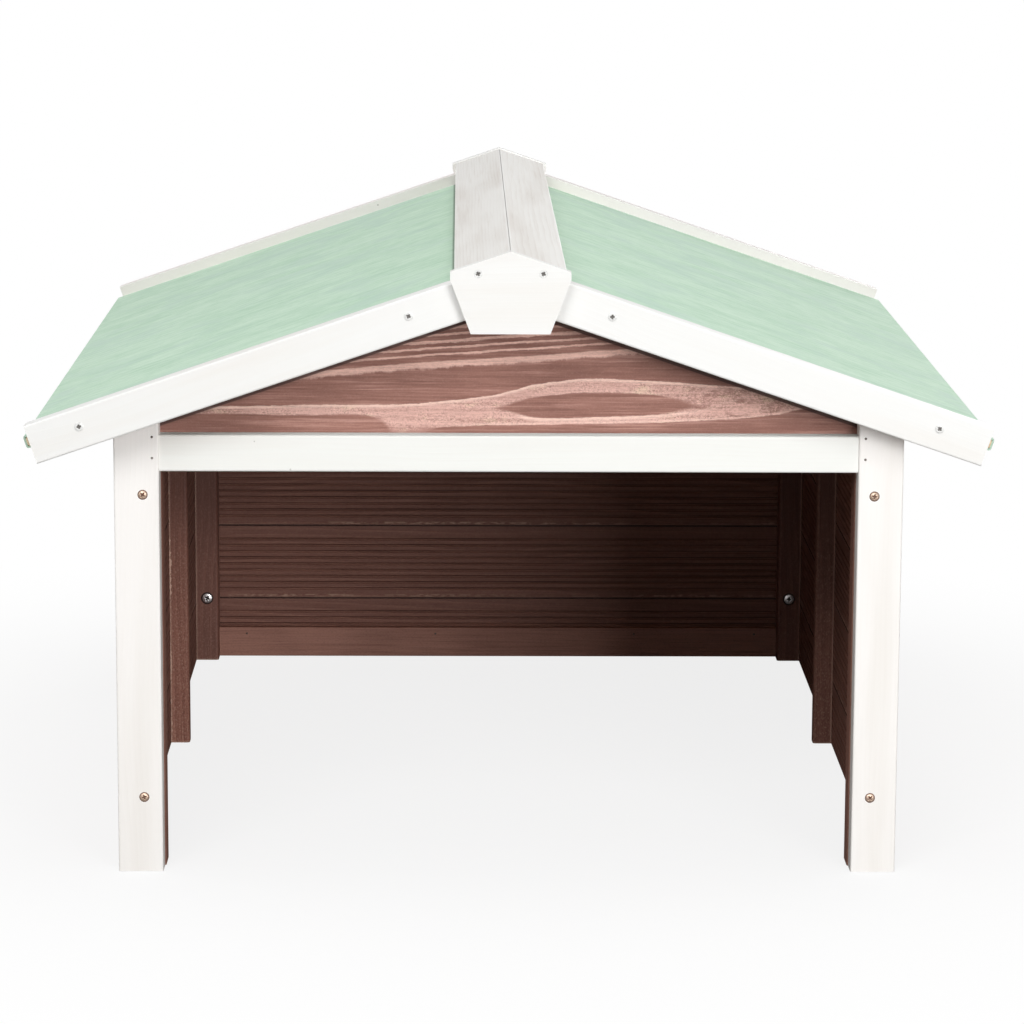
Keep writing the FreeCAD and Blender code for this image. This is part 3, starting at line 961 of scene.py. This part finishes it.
@dataclass
class Studio:
    """White floor, an even surround and soft lamps, each with its name, place, side and watts."""

    floor_half: float = 9.0
    white_from: float = 0.45
    white_to: float = 0.95
    shadow_left: float = 0.16
    surround: float = 0.30
    aim: tuple[float, float, float] = (0.0, 0.0, 0.25)
    lamps: tuple[tuple[str, tuple[float, float, float], float, float], ...] = (
        ("key_lamp", (1.55, -3.8, 0.80), 1.4, 75.0),
        ("fill_lamp", (-1.1, -3.3, 2.4), 1.8, 55.0),
        ("sky_lamp", (0.2, -0.2, 3.6), 2.4, 31.0),
        ("back_left_lamp", (-1.5, 3.2, 0.70), 1.3, 4.0),
        ("back_right_lamp", (1.5, 3.2, 0.70), 1.3, 30.0),
        ("back_middle_lamp", (0.0, 3.6, 0.12), 0.6, 30.0),
        ("left_lamp", (-3.2, 0.2, 0.30), 1.0, 20.0),
    )

    def build_floor(self) -> bpy.types.Object:
        """Lay the floor. It keeps a light shadow of the garage and turns to plain white further out.

        Returns:
            The floor object.
        """
        reach = self.floor_half
        mesh = bpy.data.meshes.new("floor")
        corners = [(-reach, -reach, 0), (reach, -reach, 0), (reach, reach, 0), (-reach, reach, 0)]
        mesh.from_pydata(corners, [], [(0, 1, 2, 3)])
        floor = bpy.data.objects.new("floor", mesh)
        bpy.context.scene.collection.objects.link(floor)
        floor.location.z = -0.0002
        material = bpy.data.materials.new("floor_white")
        material.use_nodes = True
        material.node_tree.nodes.clear()
        tree = Tree(material.node_tree)
        path = tree.node("ShaderNodeLightPath")
        seen = Signal(tree, path.outputs["Is Camera Ray"])
        place = tree.position()
        away = tree.node("ShaderNodeVectorMath", operation="LENGTH")
        tree.feed(away.inputs[0], place)
        reached = Signal(tree, away.outputs["Value"])
        far = reached.ease(self.white_from, self.white_to, 1.0 - self.shadow_left, 1.0)
        fleck = tree.noise(place, 40.0, 3.0).ease(0.3, 0.7, 0.985, 1.0)
        diffuse = tree.node("ShaderNodeBsdfDiffuse")
        pale = tree.mix(seen, screen_colour(140, 139, 137), screen_colour(253, 253, 253))
        tree.feed(diffuse.inputs["Color"], tree.mix(fleck, (0.0, 0.0, 0.0), pale))
        glow = tree.node("ShaderNodeEmission")
        both = tree.node("ShaderNodeMixShader")
        tree.feed(both.inputs[0], far * seen)
        material.node_tree.links.new(diffuse.outputs[0], both.inputs[1])
        material.node_tree.links.new(glow.outputs[0], both.inputs[2])
        output = tree.node("ShaderNodeOutputMaterial")
        material.node_tree.links.new(both.outputs[0], output.inputs["Surface"])
        floor.data.materials.append(material)
        return floor

    def build_surround(self) -> None:
        """Set an even surround, white where the camera, gloss or clear things look at it."""
        world = bpy.data.worlds.new("surround")
        world.use_nodes = True
        world.node_tree.nodes.clear()
        tree = Tree(world.node_tree)
        path = tree.node("ShaderNodeLightPath")
        seen = Signal(tree, path.outputs["Is Camera Ray"])
        seen = seen.most(Signal(tree, path.outputs["Is Glossy Ray"]))
        seen = seen.most(Signal(tree, path.outputs["Is Transmission Ray"]))
        glow = tree.node("ShaderNodeBackground")
        glow.inputs["Color"].default_value = (1.0, 1.0, 1.0, 1.0)
        tree.feed(glow.inputs["Strength"], seen * (1.0 - self.surround) + self.surround)
        output = tree.node("ShaderNodeOutputWorld")
        world.node_tree.links.new(glow.outputs[0], output.inputs["Surface"])
        bpy.context.scene.world = world

    def add_lamp(self, name: str, place: Vector, aim: Vector, size: float, power: float) -> None:
        """Hang a square soft lamp.

        Args:
            name: Its name.
            place: Where it hangs.
            aim: The point that it faces.
            size: Length of its side.
            power: Its power in watts.
        """
        lamp = bpy.data.lights.new(name, "AREA")
        lamp.shape = "SQUARE"
        lamp.size = size
        lamp.energy = power
        hung = bpy.data.objects.new(name, lamp)
        hung.location = place
        hung.rotation_euler = (aim - place).to_track_quat("-Z", "Y").to_euler()
        bpy.context.scene.collection.objects.link(hung)

    def build(self) -> None:
        """Make the floor, the surround and the lamps."""
        self.build_floor()
        self.build_surround()
        for name, place, size, power in self.lamps:
            self.add_lamp(name, Vector(place), Vector(self.aim), size, power)


@dataclass
class PhotoCamera:
    """Camera at the photograph's place, fitted to points of the garage."""

    place: tuple[float, float, float] = (-0.0376, -3.2844, 0.8099)
    pitch: float = 0.18105
    yaw: float = 0.01379
    roll: float = 0.00481
    focal_pixels: float = 3907.9
    image_pixels: float = 1024.0
    sensor: float = 36.0

    def build(self) -> bpy.types.Object:
        """Make the camera.

        Returns:
            The camera object.
        """
        data = bpy.data.cameras.new("photo_camera")
        data.sensor_width = self.sensor
        data.lens = self.focal_pixels * self.sensor / self.image_pixels
        camera = bpy.data.objects.new("photo_camera", data)
        level, turned = math.cos(self.pitch), self.yaw
        ahead = Vector((math.sin(turned) * level, math.cos(turned) * level, -math.sin(self.pitch)))
        right = Vector((math.cos(turned), -math.sin(turned), 0.0))
        up = right.cross(ahead)
        right, up = (
            math.cos(self.roll) * right + math.sin(self.roll) * up,
            -math.sin(self.roll) * right + math.cos(self.roll) * up,
        )
        turn = Matrix((right, up, -ahead)).transposed().to_4x4()
        camera.matrix_world = Matrix.Translation(self.place) @ turn
        bpy.context.scene.collection.objects.link(camera)
        bpy.context.scene.camera = camera
        return camera


@dataclass(frozen=True)
class Spot:
    """A place on a surface where a fastener sits."""

    place: tuple[float, float, float]
    outward: tuple[float, float, float]
    turn: float = 0.3


@dataclass(frozen=True)
class CrossHead:
    """Head of a screw with a cross recess. Heights are over the wood's surface."""

    radius: float
    dome: float
    rim: float
    recess_reach: float
    recess_width: float
    recess_depth: float
    deepest: float = 0.00006
    rings: int = 15
    sectors: int = 48

    def height(self, distance: float, angle: float) -> float:
        """Height of the head over the wood.

        Args:
            distance: Distance from the axis.
            angle: Angle about the axis.

        Returns:
            The height.
        """
        share = min(distance / self.radius, 1.0)
        top = self.rim + self.dome * (1.0 - share**2.4)
        return max(self.deepest, top - self.recess_depth * self.recess(distance, angle))

    def recess(self, distance: float, angle: float) -> float:
        """Depth of the cross recess there, as a share of its full depth.

        Args:
            distance: Distance from the axis.
            angle: Angle about the axis.

        Returns:
            The share, 0 outside the recess.
        """
        x, y = abs(distance * math.cos(angle)), abs(distance * math.sin(angle))
        long_way, cross_way = max(x, y), min(x, y)
        within = min(1.0, max(0.0, (self.recess_reach - long_way) / (0.18 * self.recess_reach)))
        beside = min(1.0, max(0.0, (self.recess_width - cross_way) / (0.45 * self.recess_width)))
        return within * beside * (1.0 - 0.45 * long_way / self.recess_reach)

    def add_to(self, points: list[Vector], faces: list[tuple[int, ...]], spot: Spot) -> list[float]:
        """Add one head to lists of points and faces.

        Args:
            points: Points so far.
            faces: Faces so far.
            spot: Where the head sits.

        Returns:
            How deep each new point lies in the recess, as a share.
        """
        outward = Vector(spot.outward).normalized()
        stand = outward.to_track_quat("Z", "Y").to_matrix().to_4x4()
        seat = Matrix.Translation(spot.place) @ stand @ Matrix.Rotation(spot.turn, 4, "Z")
        first = len(points)
        points.append(seat @ Vector((0, 0, self.height(0.0, 0.0))))
        hollows = [self.recess(0.0, 0.0)]
        for ring in range(1, self.rings + 1):
            distance = self.radius * ring / self.rings
            for sector in range(self.sectors):
                angle = 2 * math.pi * sector / self.sectors
                height = self.height(distance, angle)
                points.append(seat @ Vector((distance * math.cos(angle), distance * math.sin(angle), height)))
                hollows.append(self.recess(distance, angle))
        skirt = self.radius * 1.02
        for sector in range(self.sectors):
            angle = 2 * math.pi * sector / self.sectors
            below = self.height(skirt, angle) - 0.0005
            points.append(seat @ Vector((skirt * math.cos(angle), skirt * math.sin(angle), below)))
        for sector in range(self.sectors):
            after = (sector + 1) % self.sectors
            faces.append((first, first + 1 + sector, first + 1 + after))
            for ring in range(self.rings):
                inner = first + 1 + ring * self.sectors
                outer = inner + self.sectors
                faces.append((inner + sector, outer + sector, outer + after, inner + after))
        return hollows + [0.0] * (len(points) - first - len(hollows))


@dataclass(frozen=True)
class FlatDisc:
    """Low round disc, such as a nail head or the dark rim round a countersunk hole."""

    radius: float
    height: float
    hole: float = 0.0
    sectors: int = 20

    def add_to(self, points: list[Vector], faces: list[tuple[int, ...]], spot: Spot) -> list[float]:
        """Add one disc to lists of points and faces.

        Args:
            points: Points so far.
            faces: Faces so far.
            spot: Where the disc sits.

        Returns:
            Nought for each new point, as a disc has no recess.
        """
        outward = Vector(spot.outward).normalized()
        seat = Matrix.Translation(spot.place) @ outward.to_track_quat("Z", "Y").to_matrix().to_4x4()
        first = len(points)
        profile = [(self.hole, self.height), (self.radius * 0.86, self.height), (self.radius, -0.0002)]
        for distance, height in profile:
            for sector in range(self.sectors):
                angle = 2 * math.pi * sector / self.sectors
                points.append(seat @ Vector((distance * math.cos(angle), distance * math.sin(angle), height)))
        for sector in range(self.sectors):
            after = (sector + 1) % self.sectors
            for ring in range(2):
                inner = first + ring * self.sectors
                outer = inner + self.sectors
                faces.append((inner + sector, outer + sector, outer + after, inner + after))
        if not self.hole:
            faces.append(tuple(first + sector for sector in range(self.sectors)))
        return [0.0] * (len(points) - first)


def make_fasteners(name: str, shape: CrossHead | FlatDisc, spots: list[Spot], material: bpy.types.Material) -> bpy.types.Object:
    """Join like fasteners into one piece that rides on the garage.

    Args:
        name: Name of the piece.
        shape: What one of them looks like.
        spots: Where they sit.
        material: Their finish.

    Returns:
        The new piece.
    """
    points: list[Vector] = []
    faces: list[tuple[int, ...]] = []
    hollows: list[float] = []
    for spot in spots:
        hollows += shape.add_to(points, faces, spot)
    mesh = bpy.data.meshes.new(name)
    mesh.from_pydata([tuple(point) for point in points], [], faces)
    mesh.attributes.new("recess", "FLOAT", "POINT").data.foreach_set("value", hollows)
    mesh.validate()
    mesh.shade_smooth()
    mesh.materials.append(material)
    piece = bpy.data.objects.new(name, mesh)
    bpy.context.scene.collection.objects.link(piece)
    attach(piece, "root")
    log.info("%s: %d fasteners, %d faces", name, len(spots), len(faces))
    return piece


def plain_stain(name: str, seed: float, tone: Colour) -> BrownStain:
    """Describe stained wood of one even tone, such as the rim of a screw hole.

    Args:
        name: Name of the finish.
        seed: Number that makes it differ.
        tone: Its colour.

    Returns:
        The finish.
    """
    return BrownStain(name, Run.ACROSS, seed, tone, tone, tone)


def dress(node: str, material: bpy.types.Material) -> None:
    """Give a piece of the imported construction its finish.

    Args:
        node: Name of the piece.
        material: The finish.
    """
    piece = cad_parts[node]
    piece.data.materials.clear()
    piece.data.materials.append(material)
    log.info("%s: %s", node, material.name)


SIDES = {"left": -1, "right": 1}
SLOPES = {"left": Run.DOWN_LEFT, "right": Run.DOWN_RIGHT}


@dataclass
class FrontFrame:
    """Posts, header and gable board round the doorway, with their screws and nails."""

    post_screw_heights: tuple[float, float] = (0.2925, 0.0585)
    post_screw_inset: float = 0.0216
    nail_inset: float = 0.0290
    nail_heights: tuple[float, float] = (0.3365, 0.3205)
    post_screw: CrossHead = CrossHead(0.0031, 0.0009, 0.0004, 0.0020, 0.00066, 0.0012)
    screw_rim: FlatDisc = FlatDisc(0.0041, 0.00025, 0.0028, 32)
    nail: FlatDisc = FlatDisc(0.00105, 0.0001)

    def build(self, effects: Effects) -> None:
        """Dress the pieces and add the fasteners.

        Args:
            effects: The shared node groups.
        """
        warm = screen_colour(255, 252, 249)
        for number, side in enumerate(SIDES):
            paint = WhitePaint(f"{side}_post_paint", Run.UPRIGHT, 1.7 + number, warm)
            dress(f"{side}_front_post", paint.build(effects))
        cool = screen_colour(247, 248, 244)
        dress("front_header", WhitePaint("header_paint", Run.ACROSS, 4.1, cool, soft_top=0.8).build(effects))
        dress("front_gable_board", GableGrain("front_gable_grain", Run.ACROSS, 0.6).build(effects))
        self.add_fasteners(effects)

    def add_fasteners(self, effects: Effects) -> None:
        """Add the brass screws in the posts and the nails that hold the header.

        Args:
            effects: The shared node groups.
        """
        low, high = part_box("right_front_post")
        face = low.y
        screws, nails = [], []
        for side in SIDES.values():
            for index, height in enumerate(self.post_screw_heights):
                x = side * (high.x - self.post_screw_inset + 0.0015 * index)
                screws.append(Spot((x, face, height), (0, -1, 0), 0.4 + 0.9 * index + side))
            for height in self.nail_heights:
                nails.append(Spot((side * (high.x - self.nail_inset), face, height), (0, -1, 0)))
        brass = Metal("brass", Run.ACROSS, 0.2, screen_colour(220, 194, 174), screen_colour(112, 80, 64))
        # A dark brown ring round each post screw.
        rim = plain_stain("screw_hole_ring", 2.2, screen_colour(112, 82, 68))
        steel = Metal("bright_steel", Run.ACROSS, 0.4, screen_colour(120, 112, 106), screen_colour(70, 62, 56))
        make_fasteners("post_screws", self.post_screw, screws, brass.build(effects))
        make_fasteners("post_screw_rims", self.screw_rim, screws, rim.build(effects))
        make_fasteners("header_nails", self.nail, nails, steel.build(effects))


@dataclass
class Walls:
    """Boarded walls and the battens and rails inside them."""

    starter: float = 0.056
    cover: float = 0.0705
    batten_tones: dict[str, tuple[Colour, Colour]] = field(default_factory=lambda: {
        "front": (screen_colour(143, 98, 84), screen_colour(177, 127, 110)),
        "middle": (screen_colour(161, 107, 90), screen_colour(195, 138, 118)),
        # The right middle batten's darker tones are painted shade.
        "right middle in painted shade": (screen_colour(138, 92, 78), screen_colour(168, 120, 103)),
        "rear": (screen_colour(135, 91, 78), screen_colour(168, 118, 102)),
    })
    painted_top_shades: dict[str, tuple[float, float, float]] = field(default_factory=lambda: {
        "front": (0.14, 0.28, 0.5), "middle": (0.10, 0.24, 0.75), "rear": (0.06, 0.19, 0.6),
    })
    batten_screw_height: float = 0.0600
    batten_screw: CrossHead = CrossHead(0.0045, 0.0006, 0.0007, 0.0024, 0.0008, 0.0011)
    screw_rim: FlatDisc = FlatDisc(0.0062, 0.0003, 0.0042, 32)
    nail: FlatDisc = FlatDisc(0.0011, 0.00012)

    def build(self, effects: Effects) -> None:
        """Dress the pieces and add the fasteners.

        Args:
            effects: The shared node groups.
        """
        courses = {"cover": self.cover, "starter": self.starter}
        for number, side in enumerate(SIDES):
            boards = BrownStain(f"{side}_wall_stain", Run.DEEP, 0.31 + number, ring_width=0.008, **courses)
            dress(f"{side}_wall_boards", boards.build(effects))
            for place, seed in (("front", 1.3), ("middle", 2.9), ("rear", 5.2)):
                name = f"{side}_{place}_batten"
                low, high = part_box(name)
                torn = (side, place) == ("left", "middle")
                tones = self.batten_tones["right middle in painted shade" if (side, place) == ("right", "middle") else place]
                arris = (max(abs(low.x), abs(high.x)), low.y) if torn else None
                stain = BrownStain(
                    f"{name}_stain", Run.UPRIGHT, seed + number, *tones,
                    chafed_colour=screen_colour(224, 188, 168), ring_width=0.006, chafing=0.7, wear_width=0.003,
                    sawn=0.5 if place == "middle" else 0.25, frayed_arris=arris, painted_top_shade=self.painted_top_shades[place],
                )
                dress(name, stain.build(effects))
        back = BrownStain("back_wall_stain", Run.ACROSS, 3.7, ring_width=0.009, **courses)
        dress("back_wall_boards", back.build(effects))
        gable = BrownStain("back_gable_stain", Run.ACROSS, 6.1, ring_width=0.012)
        dress("back_gable_board", gable.build(effects))
        lighter = screen_colour(184, 132, 115)
        for node, seed in (("back_bottom_rail", 7.4), ("back_top_rail", 8.8)):
            stain = BrownStain(f"{node}_stain", Run.ACROSS, seed, lighter, ring_width=0.006)
            dress(node, stain.build(effects))
        self.add_fasteners(effects)

    def add_fasteners(self, effects: Effects) -> None:
        """Add the screws in the rear battens and the nails through the boards.

        Args:
            effects: The shared node groups.
        """
        low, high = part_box("right_rear_batten")
        middle = (low.x + high.x) / 2
        screws = []
        for side in SIDES.values():
            for index, height in enumerate((self.batten_screw_height, high.z - 0.075)):
                screws.append(Spot((side * middle, low.y, height), (0, -1, 0), 0.5 + side + index))
        zinc = Metal(
            "zinc", Run.ACROSS, 0.7, screen_colour(252, 249, 249), screen_colour(40, 34, 32), 0.28, 1.0,
        ).build(effects)
        make_fasteners("batten_screws", self.batten_screw, screws, zinc)
        # A near-black ring round each batten screw.
        dark_ring = plain_stain("dark_screw_ring", 2.6, screen_colour(44, 24, 21))
        make_fasteners("batten_screw_rims", self.screw_rim, screws, dark_ring.build(effects))
        dark = Metal("dull_nails", Run.ACROSS, 0.9, screen_colour(110, 98, 90), screen_colour(58, 46, 40))
        make_fasteners("wall_nails", self.nail, self.nail_spots(), dark.build(effects))

    def nail_spots(self) -> list[Spot]:
        """Places of the nails through the wall boards into the battens.

        Returns:
            Two nails for each board and batten, on the outer faces, and a few through the bottom rail.
        """
        _, wall_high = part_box("right_wall_boards")
        spots = []
        feet = [0.0] + [self.starter + self.cover * index for index in range(4)]
        for foot in feet:
            for height in (foot + 0.016, foot + 0.042):
                for place in ("front", "middle", "rear"):
                    low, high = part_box(f"right_{place}_batten")
                    y = (low.y + high.y) / 2
                    for side in SIDES.values():
                        spots.append(Spot((side * wall_high.x, y, height), (side, 0, 0)))
                _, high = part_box("back_wall_boards")
                for x in (-0.274, -0.09, 0.09, 0.274):
                    spots.append(Spot((x, high.y, height), (0, 1, 0)))
        low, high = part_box("back_bottom_rail")
        for x in (-0.240, -0.06, 0.13, 0.245):
            spots.append(Spot((x, low.y, high.z - 0.006), (0, -1, 0)))
        return spots


@dataclass
class Roof:
    """Roof boards, felt and the battens under them."""

    def build(self, effects: Effects) -> None:
        """Dress the pieces.

        Args:
            effects: The shared node groups.
        """
        for number, (side, run) in enumerate(SLOPES.items()):
            board = BareWood(f"{side}_roof_board_wood", Run.DEEP, 1.1 + number)
            dress(f"{side}_roof_board", board.build(effects))
            felt = RoofFelt(f"{side}_felt", run, 2.3 + number, cap_shadow_depth=0.7 if side == "left" else 0.0)
            dress(f"{side}_roof_felt", felt.build(effects))
            for end, seed in (("front", 3.1), ("back", 4.6)):
                name = f"{side}_{end}_roof_batten"
                dress(name, BrownStain(f"{name}_stain", run, seed + number, ring_width=0.006).build(effects))


@dataclass
class Trim:
    """White barge boards, ridge cap boards and ridge plates, with their screws."""

    barge_screw_places: tuple[float, float] = (0.0752, 0.3190)
    plate_screw_offset: float = 0.0240
    plate_screw_drop: float = 0.0165
    barge_screw: CrossHead = CrossHead(0.0033, 0.0004, 0.0004, 0.0019, 0.0009, 0.0008)
    plate_screw: CrossHead = CrossHead(0.0032, 0.0, -0.0001, 0.0019, 0.0009, 0.0009, -0.0010)

    def build(self, effects: Effects) -> None:
        """Dress the pieces and add the fasteners.

        Args:
            effects: The shared node groups.
        """
        clean = screen_colour(244, 244, 242)
        worn = screen_colour(243, 241, 237)
        # Painted light: the back barge boards' tones counter how light falls on them, the shaded left one paler
        # than the right one that the key lamp lights, and both pinker against green light from the felt.
        painted_light_back_tones = {"left": screen_colour(246, 238, 236), "right": screen_colour(233, 226, 225)}
        for number, (side, run) in enumerate(SLOPES.items()):
            for end, seed in (("front", 2.2), ("back", 5.7)):
                name = f"{side}_{end}_barge_board"
                tone = clean if end == "front" else painted_light_back_tones[side]
                dress(name, WhitePaint(f"{name}_paint", run, seed + number, tone).build(effects))
            name = f"{side}_ridge_cap_board"
            cap = WhitePaint(
                f"{name}_paint", Run.DEEP, 7.3 + number, worn, screen_colour(216, 208, 200),
                print_through=0.34, grain_width=0.0025, waviness=0.0012, edge_highlight_width=0.0034,
            )
            dress(name, cap.build(effects))
        for end, seed in (("front", 8.2), ("back", 9.4)):
            name = f"{end}_ridge_plate"
            dress(name, WhitePaint(f"{name}_paint", Run.ACROSS, seed, clean).build(effects))
        self.add_fasteners(effects)

    def add_fasteners(self, effects: Effects) -> None:
        """Add the screws through the barge boards and the ridge plates, front and back.

        Args:
            effects: The shared node groups.
        """
        low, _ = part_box("right_front_barge_board")
        barge_screws, plate_screws = [], []
        for outward in (-1, 1):
            face = abs(low.y) * outward
            for side in SIDES.values():
                for index, x in enumerate(self.barge_screw_places):
                    place = (side * x, face, self.middle_line(x))
                    barge_screws.append(Spot(place, (0, outward, 0), 0.7 * index + side + outward))
            plate_low, plate_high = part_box("front_ridge_plate")
            plate_face = abs(plate_low.y) * outward
            for side in SIDES.values():
                place = (side * self.plate_screw_offset, plate_face, plate_high.z - self.plate_screw_drop)
                plate_screws.append(Spot(place, (0, outward, 0), 1.1 * side))
        zinc = Metal(
            "painted_zinc", Run.ACROSS, 1.7,
            screen_colour(238, 238, 236), screen_colour(104, 101, 97), 0.45, 0.1,
        ).build(effects)
        make_fasteners("barge_screws", self.barge_screw, barge_screws, zinc)
        make_fasteners("plate_screws", self.plate_screw, plate_screws, zinc)

    def middle_line(self, x: float) -> float:
        """Height of a barge board's middle line.

        Args:
            x: Distance from the ridge line.

        Returns:
            The height.
        """
        pitch = roof_pitch()
        low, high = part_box("right_front_barge_board")
        width = high.z - low.z - (high.x - low.x) * math.tan(pitch)
        top = high.z - (x - low.x) * math.tan(pitch)
        return top - width / 2


def main() -> None:
    """Build the looks of the garage in order."""
    logging.basicConfig(level=logging.INFO, format="%(name)s: %(message)s")
    bpy.context.scene.view_settings.view_transform = "Standard"
    PhotoCamera().build()
    Studio().build()
    effects = Effects()
    for part in (FrontFrame(), Walls(), Roof(), Trim()):
        part.build(effects)
        log.info("%s is built", type(part).__name__)


if __name__ == "__main__":
    main()
